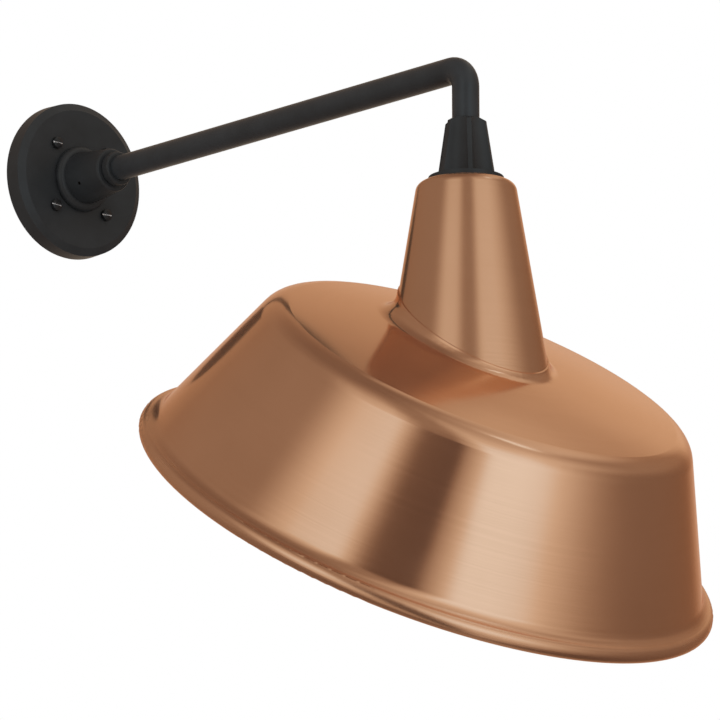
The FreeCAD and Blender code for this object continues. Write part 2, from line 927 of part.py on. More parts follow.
def neck_frame():
    """Direction and sideways direction of the neck, as Y and Z in the dish's own frame."""
    along = (sine(S.dish_tilt), cosine(S.dish_tilt))
    across = (-cosine(S.dish_tilt), sine(S.dish_tilt))
    return along, across


def neck_point(height, side):
    """A point of the neck's frame as Y and Z of the dish's frame.

    Height is measured up the neck from where the dish's level crosses the neck's axis.
    Side is measured away from the wall.
    """
    along, across = neck_frame()
    y = S.dish_offset + along[0] * height + across[0] * side
    z = along[1] * height + across[1] * side
    return y, z


def collar_radius(level, inset):
    """The collar's radius at a level below the arm, moved inward by inset."""
    slope = tangent(S.neck_half_angle)
    added = (S.collar_gap + S.sheet - inset) / cosine(S.neck_half_angle)
    return S.neck_top_radius + slope * (level - neck_top) + added


def collar_depth():
    """How far down the collar's cone is drawn, so that its slanted foot lies inside the crown."""
    foot = collar_radius(S.dish_drop, ZERO)
    slope = tangent(S.neck_half_angle)
    below = S.crown_drop + S.sheet * 4
    return (sine(S.dish_tilt) * foot + below) / (cosine(S.dish_tilt) - sine(S.dish_tilt) * slope)


def collar_outline(body, name, low, high, inset):
    """Half of the collar's cone, drawn beside the neck's axis, which is the sketch's axis line."""
    sketch = new_sketch(body, "YZ_Plane", name)
    base = low - S.dish_drop
    top = high - S.dish_drop
    places = [
        neck_point(-base, ZERO),
        neck_point(-top, ZERO),
        neck_point(-top, collar_radius(high, inset)),
        neck_point(-base, collar_radius(low, inset)),
    ]
    draw_edges(sketch, places, True)
    start, end = [Vector(y.number, z.number, 0) for y, z in places[:2]]
    axis = sketch.addGeometry(Part.LineSegment(start, end), True)
    sketch.addConstraint(Sketcher.Constraint("Coincident", axis, 1, 0, 1))
    sketch.addConstraint(Sketcher.Constraint("Coincident", axis, 2, 0, 2))
    return sketch


def meeting_edges(shape, inset):
    """Names of the edges where the collar's cone meets the crown."""
    along = Vector(0, math.sin(math.radians(S.dish_tilt.number)), math.cos(math.radians(S.dish_tilt.number)))
    foot = Vector(0, S.dish_offset.number, 0)
    found = []
    for number, edge in enumerate(shape.Edges, start=1):
        first, last = edge.ParameterRange
        steps = [edge.valueAt(first + (last - first) * k / 8) for k in range(9)]
        on_both = True
        for point in steps:
            height = (point - foot).dot(along)
            radius = ((point - foot) - along * height).Length
            level = as_size(S.dish_drop.number - height)
            dome = S.crown_radius.number / math.sin(math.radians(S.crown_edge_slope.number))
            drop = S.crown_drop.number + dome * math.cos(math.radians(S.crown_edge_slope.number))
            off_dome = abs((point - Vector(0, 0, -drop)).Length - dome + inset.number)
            off_cone = abs(radius - collar_radius(level, inset).number)
            if off_dome > 0.01 or off_cone > 0.01:
                on_both = False
        if on_both:
            found.append(f"Edge{number}")
    return found


def make_shade_dish():
    """The spun dish: a domed crown, a rounded shoulder, a straight skirt and a rolled rim.

    It is drawn about its own axis. The collar on the crown follows the neck, which is tilted.
    """
    body = new_body("shade_dish")
    form = outline(body, "XZ_Plane", "dish_outline", dish_outline(ZERO, ZERO))
    turned(body, "Revolution", "dish_form", form)
    low = S.dish_drop + collar_depth()
    high = S.seam_drop - S.neck_top_radius * 2
    cone = collar_outline(body, "collar_outline", low, high, ZERO)
    turned(body, "Revolution", "collar_form", cone, "Axis0")
    trim = outline(body, "YZ_Plane", "seam_outline", seam_trim())
    padded(body, "Pocket", "seam_trim", trim, None, True)
    doc.recompute()
    rounded(body, "collar_flare", meeting_edges(body.Tip.Shape, ZERO), S.collar_fillet)
    hollow = outline(body, "XZ_Plane", "hollow_outline", dish_outline(S.sheet, S.sheet * 2))
    turned(body, "Groove", "dish_hollow", hollow)
    bore = collar_outline(body, "collar_bore_outline", low, high, S.sheet)
    turned(body, "Groove", "collar_bore", bore, "Axis0")
    doc.recompute()
    inside = S.collar_fillet + S.sheet
    rounded(body, "collar_flare_inside", meeting_edges(body.Tip.Shape, S.sheet), inside)
    rim = outline(body, "XZ_Plane", "rim_outline", rim_corners())
    turned(body, "Revolution", "rolled_rim", rim)
    hang_dish(body)
    return body


def rim_corners():
    """The rim: the skirt bends out through a cove and is rolled over into a hollow bead."""
    skirt_end = dish_outline(ZERO, ZERO)[3]
    out = (sine(S.skirt_slope), cosine(S.skirt_slope))
    cove_x = skirt_end[0] + out[0] * S.rim_cove_radius
    cove_z = skirt_end[1] + out[1] * S.rim_cove_radius
    inside_cove = S.rim_cove_radius + S.sheet
    bead_z = cove_z - S.rim_cove_radius - S.rim_bead_section
    section = S.rim_bead_section
    inside = section - S.sheet
    lip = (cosine(S.rim_lip_angle), sine(S.rim_lip_angle))
    across = S.sheet / out[0]
    return [
        skirt_end,
        (cove_x, bead_z + section, S.rim_cove_radius, 1),
        (cove_x + section, bead_z, section, -1),
        (cove_x, bead_z - section, section, -1),
        (cove_x - section, bead_z, section, -1),
        (cove_x + lip[0] * section, bead_z + lip[1] * section, section, -1),
        (cove_x + lip[0] * inside, bead_z + lip[1] * inside),
        (cove_x - inside, bead_z, inside, 1),
        (cove_x, bead_z - inside, inside, 1),
        (cove_x + inside, bead_z, inside, 1),
        (cove_x, bead_z + inside, inside, 1),
        (cove_x - out[0] * inside_cove, cove_z - out[1] * inside_cove, inside_cove, -1),
        (skirt_end[0] - across, skirt_end[1]),
    ]


def seam_trim():
    """What is cut away above the seam, drawn from the side in the dish's own frame."""
    turn = S.seam_tilt - S.dish_tilt
    drop = S.seam_drop - S.dish_drop
    foot_y, foot_z = neck_point(-drop, ZERO)
    reach = S.crown_radius
    rise = tangent(turn)
    left = foot_y - reach * SEAM_TRIM_SHARE
    right = foot_y + reach * SEAM_TRIM_SHARE
    return [
        (left, foot_z + rise * (left - foot_y)),
        (right, foot_z + rise * (right - foot_y)),
        (right + reach, foot_z + reach * 2),
        (left, foot_z + reach * 2),
    ]


def hang_dish(body):
    """Tilt the dish and set it on the neck's axis under the arm."""
    turn = Placement(
        Vector(0, -S.arm_reach.number, 0), Rotation(Vector(0, 0, 1), S.shade_turn.number)
    )
    lean = Placement(
        Vector(0, 0, -S.dish_drop.number), Rotation(Vector(1, 0, 0), S.dish_tilt.number)
    )
    shift = Placement(Vector(0, -S.dish_offset.number, 0), Rotation())
    body.Placement = turn.multiply(lean).multiply(shift)


# Lampholder


def make_lampholder_cap():
    body = new_body("lampholder_cap")
    inside = S.cap_radius - S.cap_wall
    corners = [
        (nipple_hole, -cap_top),
        (S.cap_radius - S.cap_rounding, -cap_top),
        (S.cap_radius, -cap_top - S.cap_rounding, S.cap_rounding, -1),
        (S.cap_radius, -cap_top - S.cap_height),
        (inside, -cap_top - S.cap_height),
        (inside, -cap_top - S.cap_rounding),
        (S.cap_radius - S.cap_rounding, -cap_top - S.cap_wall, S.cap_rounding - S.cap_wall, 1),
        (nipple_hole, -cap_top - S.cap_wall),
    ]
    turned(body, "Revolution", "cap_form", outline(body, "XZ_Plane", "cap_outline", corners))
    hang_on_arm(body)
    return body


def make_porcelain():
    body = new_body("lampholder_porcelain")
    inside = S.cap_radius - S.cap_wall - S.seated_gap
    ledge = S.cap_radius + S.porcelain_ledge
    ledge_bottom = porcelain_ledge_top + S.porcelain_ledge_height
    rounding = S.porcelain_mouth_rounding
    corners = [
        (ZERO, -porcelain_top),
        (inside, -porcelain_top),
        (inside, -porcelain_ledge_top),
        (ledge, -porcelain_ledge_top),
        (ledge, -ledge_bottom),
        (S.porcelain_mouth_radius, -ledge_bottom - S.porcelain_ledge * 2),
        (S.porcelain_mouth_radius, rounding - porcelain_mouth),
        (S.porcelain_mouth_radius - rounding, -porcelain_mouth, rounding, -1),
        (S.porcelain_cavity, -porcelain_mouth),
        (S.porcelain_cavity, -porcelain_floor),
        (ZERO, -porcelain_floor),
    ]
    form = outline(body, "XZ_Plane", "porcelain_outline", corners)
    turned(body, "Revolution", "porcelain_form", form)
    for side, name in ((-1, "left"), (1, "right")):
        hole = circles(
            body,
            "XY_Plane",
            f"lead_hole_{name}",
            [(S.lead_spacing * side, ZERO)],
            [S.lead_radius + S.seated_gap],
            -porcelain_top,
        )
        padded(body, "Pocket", f"lead_way_{name}", hole, S.lead_hole_depth)
    hang_on_arm(body)
    return body


def rolled_thread(radius, start, turns, direction):
    """Corners of a rolled thread's outline: each turn has one crest and one root."""
    eighth = S.thread_pitch / 8
    crest = radius + S.thread_height
    root = radius - S.thread_height
    levels = (crest, root) if direction > 0 else (root, crest)
    corners = []
    for turn in range(turns):
        begin = start - S.thread_pitch * direction * turn
        for x, steps in ((levels[0], (1, 3)), (levels[1], (5, 7))):
            for step in steps:
                corners.append((x, begin - eighth * direction * step))
    corners.append((radius, start - S.thread_pitch * direction * turns))
    return corners


def threaded_sleeve(radius, top, turns):
    """A thin sleeve rolled into a thread; gives the outline's corners from its top."""
    outer = radius + S.shell_sheet / 2
    inner = radius - S.shell_sheet / 2
    bottom = -top - S.thread_pitch * turns
    down = rolled_thread(outer, -top, turns, 1)
    up = rolled_thread(inner, bottom, turns, -1)
    return [(outer, -top)] + down + [(inner, bottom)] + up


def make_holder_shell():
    """The brass screw shell: a flange on the porcelain's floor and a rolled thread."""
    body = new_body("lampholder_shell")
    turns = int(S.holder_thread_turns.number)
    flange_low = porcelain_floor + S.shell_sheet
    corners = threaded_sleeve(S.holder_thread_radius, flange_low, turns)
    sleeve = outline(body, "XZ_Plane", "holder_thread_outline", corners)
    turned(body, "Revolution", "holder_thread", sleeve)
    inner = S.holder_thread_radius - S.holder_flange_width
    outer = S.holder_thread_radius + S.shell_sheet / 2
    flange = [
        (inner, -porcelain_floor),
        (outer, -porcelain_floor),
        (outer, -flange_low - S.shell_sheet),
        (inner, -flange_low - S.shell_sheet),
    ]
    turned(body, "Revolution", "holder_flange", outline(body, "XZ_Plane", "holder_flange_outline", flange))
    hang_on_arm(body)
    return body


def make_contact():
    """A bent spring strip from the porcelain's floor to the middle of the shell."""
    body = new_body("lampholder_contact")
    near = S.contact_reach / 3
    thick = S.contact_sheet
    corners = [
        (S.contact_reach, -porcelain_floor),
        (S.contact_reach, -porcelain_floor - thick),
        (near * 2, -porcelain_floor - thick),
        (near, -contact_tip),
        (-near, -contact_tip),
        (-near, thick - contact_tip),
        (near - thick, thick - contact_tip),
        (near * 2 - thick, -porcelain_floor),
    ]
    strip = outline(body, "XZ_Plane", "contact_outline", corners)
    padded(body, "Pad", "contact_strip", strip, S.contact_width, True)
    hang_on_arm(body)
    return body


def make_tail(name, side):
    """The stretch of a lead from the pipe's end down into the lampholder."""
    body = new_body(name)
    top = pipe_end + S.turning_gap
    bottom = porcelain_top + S.lead_hole_depth - S.seated_gap
    circle = circles(
        body, "XY_Plane", name + "_circle", [(S.lead_spacing * side, ZERO)], [S.lead_radius], -bottom
    )
    padded(body, "Pad", name + "_wire", circle, bottom - top)
    hang_on_arm(body)
    return body


# Bulb


def make_bulb_cap_pieces():
    contact = new_body("bulb_contact")
    corners = [
        (ZERO, -bulb_tip),
        (S.bulb_contact_radius - S.bulb_contact_height, -bulb_tip),
        (S.bulb_contact_radius, -insulator_top, S.bulb_contact_height, -1),
        (ZERO, -insulator_top),
    ]
    form = outline(contact, "XZ_Plane", "bulb_contact_outline", corners)
    turned(contact, "Revolution", "bulb_contact_form", form)
    hang_on_arm(contact)
    insulator = new_body("bulb_insulator")
    corners = [
        (ZERO, -insulator_top),
        (S.bulb_contact_radius + S.seated_gap, -insulator_top),
        (bulb_thread_radius - S.shell_sheet, -bulb_shell_top),
        (ZERO, -bulb_shell_top),
    ]
    form = outline(insulator, "XZ_Plane", "insulator_outline", corners)
    turned(insulator, "Revolution", "insulator_form", form)
    hang_on_arm(insulator)
    shell = new_body("bulb_shell")
    turns = int(S.bulb_thread_turns.number)
    corners = threaded_sleeve(bulb_thread_radius, bulb_shell_top, turns)
    form = outline(shell, "XZ_Plane", "bulb_thread_outline", corners)
    turned(shell, "Revolution", "bulb_thread", form)
    hang_on_arm(shell)


def glass_outline(inset):
    """The bulb's envelope from its neck to its lowest point, moved inward by inset."""
    ball = S.glass_radius - inset
    middle = bulb_shell_bottom + S.glass_drop
    touch_x = ball * cosine(S.glass_slope)
    touch_z = ball * sine(S.glass_slope) - middle
    fillet = S.glass_fillet + inset
    neck = S.glass_neck_radius - inset
    bend_x = neck + fillet * (1 - cosine(S.glass_slope))
    bend_z = touch_z + (touch_x - bend_x) / tangent(S.glass_slope)
    neck_z = bend_z + fillet * sine(S.glass_slope)
    top = S.glass_in_shell - bulb_shell_bottom
    return [
        (neck, top),
        (neck, neck_z),
        (bend_x, bend_z, fillet, 1),
        (touch_x, touch_z),
        (ball, -middle, ball, -1),
        (ZERO, -middle - ball, ball, -1),
    ]


def make_bulb_glass():
    body = new_body("bulb_glass")
    outside = glass_outline(ZERO)
    inside = glass_outline(S.glass_wall)
    top, neck, bend, touch, widest, lowest = inside
    corners = outside + [
        (lowest[0], lowest[1]),
        (widest[0], widest[1], widest[2], 1),
        (touch[0], touch[1], widest[2], 1),
        (bend[0], bend[1]),
        (neck[0], neck[1], bend[2], -1),
        (top[0], top[1]),
    ]
    turned(body, "Revolution", "glass_form", outline(body, "XZ_Plane", "glass_outline", corners))
    hang_on_arm(body)
    return body


def make_bulb_stem():
    body = new_body("bulb_stem")
    flare = S.glass_neck_radius - S.glass_wall - S.turning_gap
    top = S.glass_in_shell - bulb_shell_bottom
    low = top - S.stem_length
    corners = [
        (ZERO, top),
        (flare, top),
        (flare, top - S.glass_wall),
        (S.stem_radius, top - S.stem_flare),
        (S.stem_radius, low),
        (ZERO, low),
    ]
    turned(body, "Revolution", "stem_form", outline(body, "XZ_Plane", "stem_outline", corners))
    hang_on_arm(body)
    return body


def make_bulb_filament():
    """A hairpin of wire that hangs from the glass stem."""
    body = new_body("bulb_filament")
    start = S.glass_in_shell - bulb_shell_bottom - S.stem_length
    low = start - S.filament_length
    half = S.filament_half_width
    spine = route(
        body,
        "XZ_Plane",
        "filament_route",
        [
            (-half, start),
            (-half, low),
            (ZERO, low - half, half, 1),
            (half, low, half, 1),
            (half, start),
        ],
    )
    section = circles(
        body, "XY_Plane", "filament_section", [(-half, ZERO)], [S.filament_radius], start
    )
    piped(body, "filament_wire", section, spine)
    hang_on_arm(body)
    return body


# Build, test and write


def build_all():
    make_wall_gasket()
    make_wall_plate()
    make_wall_screws()
    make_hub_set_screw()
    make_earth_screw()
    make_arm_tube()
    make_lock_ring()
    make_arm_lead("arm_lead_black", -1)
    make_arm_lead("arm_lead_white", 1)
    make_ribbed_hub()
    make_lock_screw()
    make_clamp_pieces()
    make_shade_neck()
    make_shade_dish()
    make_lampholder_cap()
    make_porcelain()
    make_holder_shell()
    make_contact()
    make_tail("tail_lead_black", -1)
    make_tail("tail_lead_white", 1)
    make_bulb_cap_pieces()
    make_bulb_glass()
    make_bulb_stem()
    make_bulb_filament()
    doc.recompute()


def sub_parts():
    """The objects that are pieces of the light: every body, and the group of wall screws."""
    bodies = [found for found in doc.Objects if found.TypeId == "PartDesign::Body"]
    return bodies + [doc.getObject("wall_screws")]


def check_document():
    for found in doc.Objects:
        wrong = [state for state in found.State if state in ("Invalid", "Error")]
        if wrong:
            raise RuntimeError(f"{found.Name}: {found.State} {found.getStatusString()}")
    for piece in sub_parts():
        if piece.Shape.isNull() or not piece.Shape.isValid():
            raise RuntimeError(f"{piece.Label} has no valid shape")
        if not piece.Shape.Solids:
            raise RuntimeError(f"{piece.Label} has no solid")


def check_pipe():
    """A swept pipe holds its section times its length."""
    section = math.pi * (S.pipe_radius.number**2 - pipe_bore.number**2)
    level = S.arm_reach.number - S.bend_radius.number - pipe_start.number
    upright = pipe_end.number - S.bend_radius.number
    length = level + math.pi / 2 * S.bend_radius.number + upright
    swept = doc.getObject("arm_tube").Shape.Volume
    print("pipe volume", round(swept), "section times length", round(section * length))


def write_parts():
    os.makedirs("parts", exist_ok=True)
    for piece in sub_parts():
        piece.Shape.exportStep(f"parts/{piece.Label}.step")
        print(piece.Label, len(piece.Shape.Solids), round(piece.Shape.Volume, 1))


build_all()
check_document()
check_pipe()
write_parts()
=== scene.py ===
import math

import bmesh
import bpy
from mathutils import Matrix, Vector


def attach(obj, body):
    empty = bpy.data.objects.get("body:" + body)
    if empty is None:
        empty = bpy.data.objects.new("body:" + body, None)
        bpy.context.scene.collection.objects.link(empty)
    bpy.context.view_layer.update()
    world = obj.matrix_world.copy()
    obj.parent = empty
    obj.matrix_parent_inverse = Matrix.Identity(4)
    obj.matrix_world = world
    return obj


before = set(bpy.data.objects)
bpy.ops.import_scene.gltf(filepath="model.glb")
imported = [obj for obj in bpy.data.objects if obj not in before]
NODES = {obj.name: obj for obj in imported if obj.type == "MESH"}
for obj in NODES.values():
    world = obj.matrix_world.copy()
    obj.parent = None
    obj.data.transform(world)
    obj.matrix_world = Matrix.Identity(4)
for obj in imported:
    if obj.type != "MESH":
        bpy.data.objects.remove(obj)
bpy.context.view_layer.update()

# Places on the light, in metres, in the frame's own axes: +Y into the wall, -Y along the arm.
ARM_REACH = 0.508
SHADE_TURN = math.radians(-5.6)
DISH_TILT = math.radians(33.5)
DISH_DROP = 0.2122
DISH_OFFSET = 0.0364
SCREW_OFFSET = 0.02828
SLOT_FLOOR = 0.02025
SLOT_HALF_WIDTH = 0.00065
STUDIO_RADIUS = 6.0
STUDIO_MIDDLE = (0.0, -0.45, -0.2)

# The dish's rim in its own frame, as radius and height: where the skirt ends, which way the
# skirt runs and faces, and the rolled bead.
SKIRT_END = Vector((0.227416, -0.137361))
SKIRT_SLOPE = math.radians(65.4)
BEAD_MIDDLE = Vector((0.232689, -0.147447))
BEAD_RADIUS = 0.0067

# The ring between skirt and bead: its arc, and how far it is sunk in the copper at its ends and
# back, so that no edge of it shows. Lengths are in metres and the turn past the arc in radians.
FLARE_RADIUS = 0.014
FLARE_STEPS = 24
FLARE_LIFT = 0.00001
FLARE_START_LENGTH = 0.0012
FLARE_START_SINK = 0.00006
FLARE_END_TURN = 0.16
FLARE_END_SINK = 0.00008
FLARE_BACK_SINK = 0.0006
FLARE_BACK_INSET = 0.0005
FLARE_BACK_LENGTH = 0.003
SAME_PLACE = 0.00005

# Each wall screw's corner, as the signs of its X and Z, and how far its slot is turned.
SLOTS = (
    (-1, -1, math.radians(6)),
    (-1, 1, math.radians(2)),
    (1, -1, math.radians(-1)),
    (1, 1, math.radians(4)),
)


# Material helpers


class Graph:
    """A short way to write a material's nodes."""

    def __init__(self, name):
        self.material = bpy.data.materials.new(name)
        self.material.use_nodes = True
        self.tree = self.material.node_tree
        self.shader = self.tree.nodes["Principled BSDF"]
        self.output = self.tree.nodes["Material Output"]

    def put(self, socket, value):
        """Set a socket to a number, or link it to another socket."""
        if isinstance(value, bpy.types.NodeSocket):
            self.tree.links.new(value, socket)
        else:
            socket.default_value = value

    def node(self, kind, inputs=(), **settings):
        made = self.tree.nodes.new(kind)
        for key, value in settings.items():
            setattr(made, key, value)
        for key, value in dict(inputs).items():
            self.put(made.inputs[key], value)
        return made

    def math(self, operation, first, second=0.0, third=0.0):
        made = self.node("ShaderNodeMath", operation=operation)
        for index, value in enumerate((first, second, third)):
            self.put(made.inputs[index], value)
        return made.outputs[0]

    def vector(self, operation, first, second=None, scale=None):
        made = self.node("ShaderNodeVectorMath", operation=operation)
        self.put(made.inputs[0], first)
        if second is not None:
            self.put(made.inputs[1], second)
        if scale is not None:
            self.put(made.inputs["Scale"], scale)
        return made.outputs["Value" if operation in ("DOT_PRODUCT", "LENGTH") else "Vector"]

    def place(self):
        """A point of the piece in the frame's own axes, which moves with its body."""
        return self.node("ShaderNodeTexCoord").outputs["Object"]

    def noise(self, vector, scale, detail=2.0, roughness=0.5):
        inputs = {"Vector": vector, "Scale": scale, "Detail": detail, "Roughness": roughness}
        return self.node("ShaderNodeTexNoise", inputs).outputs["Fac"]

    def combine(self, x, y, z):
        return self.node("ShaderNodeCombineXYZ", {"X": x, "Y": y, "Z": z}).outputs[0]

    def band(self, value, low, high, to_low=0.0, to_high=1.0):
        """Value from low to high turned into to_low to to_high, held at its ends."""
        inputs = {"Value": value, "From Min": low, "From Max": high, "To Min": to_low, "To Max": to_high}
        return self.node("ShaderNodeMapRange", inputs).outputs["Result"]

    def rise(self, value, low, high):
        """A smooth step from 0 at low to 1 at high."""
        inputs = {"Value": value, "From Min": low, "From Max": high}
        return self.node("ShaderNodeMapRange", inputs, interpolation_type="SMOOTHSTEP").outputs["Result"]

    def mix(self, share, first, second):
        made = self.node("ShaderNodeMix", data_type="RGBA")
        self.put(made.inputs["Factor"], share)
        self.put(made.inputs["A"], first)
        self.put(made.inputs["B"], second)
        return made.outputs["Result"]

    def bump(self, height, distance, strength=1.0):
        made = self.node("ShaderNodeBump", {"Height": height, "Distance": distance, "Strength": strength})
        self.put(self.shader.inputs["Normal"], made.outputs["Normal"])

    def surface(self, **values):
        """Set the shader's sockets; an underscore in a name stands for a space."""
        for key, value in values.items():
            self.put(self.shader.inputs[key.replace("_", " ")], value)
        return self.material


def colour(red, green, blue):
    return (red, green, blue, 1.0)


# Metals and paints

# The gloss of black paint, cool enough to stay neutral in the beige studio.
COOL_GLOSS = colour(0.78, 0.91, 1.0)

# How close the lines left by spinning lie, and how far they drift round the copper.
SPUN_LINES = 700.0
SPUN_DRIFT = 1.6

# The radii, more than the skirt's end, at which the copper starts to grow dull and is dullest.
RIM_START = -0.001
RIM_FULL = 0.006

COPPER_TONES = ((0.674, 0.449, 0.31), (0.712, 0.477, 0.335), (0.742, 0.502, 0.356))


def spun_copper(name, foot, axis, rough=0.105, shade=1.0):
    """Lacquered copper, spun and finely brushed in rings round an axis through foot."""
    graph = Graph(name)
    from_foot = graph.vector("SUBTRACT", graph.place(), tuple(foot))
    height = graph.vector("DOT_PRODUCT", from_foot, tuple(axis))
    along = graph.vector("SCALE", tuple(axis), scale=height)
    outward = graph.vector("SUBTRACT", from_foot, along)
    radius = graph.vector("LENGTH", outward)
    around = graph.vector("CROSS_PRODUCT", tuple(axis), outward)
    turn = graph.node("ShaderNodeVectorTransform", {"Vector": around}, vector_type="VECTOR",
                      convert_from="OBJECT", convert_to="WORLD").outputs[0]
    graph.put(graph.shader.inputs["Tangent"], graph.vector("NORMALIZE", turn))
    drift = graph.vector("SCALE", outward, scale=SPUN_DRIFT)
    rings = graph.vector("ADD", graph.combine(graph.math("MULTIPLY", radius, SPUN_LINES),
                                              graph.math("MULTIPLY", height, SPUN_LINES), 0.0), drift)
    lines = graph.noise(rings, 1.0, 2.0, 0.5)
    patches = graph.noise(graph.place(), 11.0, 3.0, 0.55)
    waves = graph.noise(graph.place(), 7.0, 1.0, 0.4)
    # shade scales the tones down, for a copy of this copper in painted shade.
    tones = [colour(*(shade * part for part in tone)) for tone in COPPER_TONES]
    deep = graph.mix(graph.band(lines, 0.35, 0.65), tones[0], tones[1])
    tone = graph.mix(graph.band(patches, 0.3, 0.75), deep, tones[2])
    brushed = graph.math("ADD", graph.band(lines, 0.3, 0.7, rough, rough + 0.02),
                         graph.band(patches, 0.3, 0.7, -0.01, 0.04))
    rolled = graph.rise(radius, SKIRT_END.x + RIM_START, SKIRT_END.x + RIM_FULL)
    roughness = graph.math("MULTIPLY_ADD", rolled, 0.13, brushed)
    height_map = graph.math("ADD", graph.math("MULTIPLY", lines, 0.012), waves)
    graph.bump(height_map, 0.00025, 0.6)
    return graph.surface(Base_Color=tone, Metallic=0.94, Roughness=roughness, Anisotropic=0.4,
                         Anisotropic_Rotation=0.25, Specular_Tint=colour(0.88, 0.68, 0.52),
                         Coat_Weight=0.06, Coat_Roughness=0.08, Sheen_Weight=0.45, Sheen_Roughness=0.3,
                         Sheen_Tint=colour(0.8, 0.26, 0.11))


def powder_coat(name, tone, rough):
    """Black powder coat: a fine orange peel and a soft sheen."""
    graph = Graph(name)
    grain = graph.noise(graph.place(), 1600.0, 2.0, 0.6)
    peel = graph.noise(graph.place(), 420.0, 2.0, 0.5)
    patches = graph.noise(graph.place(), 30.0, 3.0, 0.6)
    height = graph.math("ADD", graph.math("MULTIPLY", grain, 0.5), peel)
    graph.bump(height, 0.00006, 0.8)
    shade = tuple(value * 1.35 for value in tone[:3]) + (1.0,)
    mixed = graph.mix(graph.band(patches, 0.3, 0.7), tone, shade)
    roughness = graph.band(patches, 0.3, 0.7, rough - 0.03, rough + 0.04)
    return graph.surface(Base_Color=mixed, Roughness=roughness, IOR=1.4, Specular_IOR_Level=0.5,
                         Specular_Tint=COOL_GLOSS)


def screw_paint_with_painted_glint():
    """Black screws whose slots, each turned its own way, are painted near-white steel: worn metal with a
    painted glint.
    """
    graph = Graph("screw_black_with_worn_metal_and_painted_glint")
    parts = graph.node("ShaderNodeSeparateXYZ", {"Vector": graph.place()}).outputs
    worn_and_glint = None
    for corner_x, corner_z, turn in SLOTS:
        beyond_x = graph.math("GREATER_THAN", graph.math("MULTIPLY", parts["X"], corner_x), 0.0)
        beyond_z = graph.math("GREATER_THAN", graph.math("MULTIPLY", parts["Z"], corner_z), 0.0)
        here = graph.math("MULTIPLY", beyond_x, beyond_z)
        beside = graph.math("SUBTRACT", parts["X"], corner_x * SCREW_OFFSET)
        above = graph.math("SUBTRACT", parts["Z"], corner_z * SCREW_OFFSET)
        across = graph.math("ADD", graph.math("MULTIPLY", beside, math.sin(turn)),
                            graph.math("MULTIPLY", above, math.cos(turn)))
        in_slot = graph.math("LESS_THAN", graph.math("ABSOLUTE", across), SLOT_HALF_WIDTH)
        mine = graph.math("MULTIPLY", here, in_slot)
        worn_and_glint = mine if worn_and_glint is None else graph.math("ADD", worn_and_glint, mine)
    outside = graph.math("LESS_THAN", parts["Y"], -SLOT_FLOOR)
    worn_and_glint = graph.math("MULTIPLY", worn_and_glint, outside)
    wear = graph.noise(graph.place(), 900.0, 2.0, 0.6)
    black = graph.mix(wear, colour(0.008, 0.008, 0.009), colour(0.018, 0.018, 0.019))
    # The slots' near-white steel is partly worn metal and partly a painted glint.
    steel = graph.mix(wear, colour(0.88, 0.9, 0.92), colour(0.95, 0.97, 1.0))
    graph.bump(wear, 0.00004)
    return graph.surface(Base_Color=graph.mix(worn_and_glint, black, steel),
                         Metallic=graph.math("MULTIPLY", worn_and_glint, 0.4),
                         Roughness=graph.band(worn_and_glint, 0.0, 1.0, 0.36, 0.5), Specular_IOR_Level=0.35,
                         Specular_Tint=COOL_GLOSS)


def plain_metal(name, low, high, rough, scale=400.0):
    graph = Graph(name)
    grain = graph.noise(graph.place(), scale, 3.0, 0.6)
    graph.bump(grain, 0.00003)
    return graph.surface(Base_Color=graph.mix(grain, low, high), Metallic=1.0,
                         Roughness=graph.band(grain, 0.3, 0.7, rough - 0.06, rough + 0.08))


def plain_solid(name, low, high, rough, scale=300.0, coat=0.0):
    graph = Graph(name)
    grain = graph.noise(graph.place(), scale, 3.0, 0.6)
    graph.bump(grain, 0.00003)
    return graph.surface(Base_Color=graph.mix(grain, low, high), Coat_Weight=coat, Coat_Roughness=0.05,
                         Roughness=graph.band(grain, 0.3, 0.7, rough - 0.05, rough + 0.05))


def clear_glass():
    graph = Graph("clear_glass")
    waves = graph.noise(graph.place(), 40.0, 1.0, 0.4)
    graph.bump(waves, 0.0001, 0.3)
    return graph.surface(Base_Color=colour(0.97, 0.98, 0.98), Roughness=0.02, IOR=1.45,
                         Transmission_Weight=1.0)


def paint(node, material):
    """Give a node's object one material."""
    mesh_object = NODES[node]
    for entry in mesh_object.material_slots:
        entry.material = material


def rim_flare_outline():
    """The flare between skirt and bead, as points and the directions that they face.

    It comes up out of the skirt, runs along an arc that leaves the skirt and lands on the
    bead, and ends sunk in the bead.
    """
    down = Vector((math.cos(SKIRT_SLOPE), -math.sin(SKIRT_SLOPE)))
    out = Vector((math.sin(SKIRT_SLOPE), math.cos(SKIRT_SLOPE)))
    bead = BEAD_MIDDLE - SKIRT_END
    beside = bead.dot(out)
    reach = FLARE_RADIUS + BEAD_RADIUS
    start = bead.dot(down) - math.sqrt(reach ** 2 - (FLARE_RADIUS - beside) ** 2)
    middle = SKIRT_END + down * start + out * FLARE_RADIUS
    landing = (middle - BEAD_MIDDLE).normalized()
    first = math.atan2(-out.y, -out.x)
    last = math.atan2(-landing.y, -landing.x)
    if last < first:
        last += 2.0 * math.pi
    points = [(SKIRT_END + down * (start - FLARE_START_LENGTH) - out * FLARE_START_SINK, out)]
    for index in range(FLARE_STEPS + 1):
        angle = first + (last - first) * index / FLARE_STEPS
        spoke = Vector((math.cos(angle), math.sin(angle)))
        points.append((middle + spoke * (FLARE_RADIUS - FLARE_LIFT), -spoke))
    turn = math.atan2(landing.y, landing.x) - FLARE_END_TURN
    beyond = Vector((math.cos(turn), math.sin(turn)))
    points.append((BEAD_MIDDLE + beyond * (BEAD_RADIUS - FLARE_END_SINK), beyond))
    points.append((BEAD_MIDDLE + Vector((0.0, BEAD_RADIUS - FLARE_BACK_SINK)), -out))
    points.append((SKIRT_END - out * FLARE_BACK_INSET + down * FLARE_BACK_LENGTH, -out))
    return points


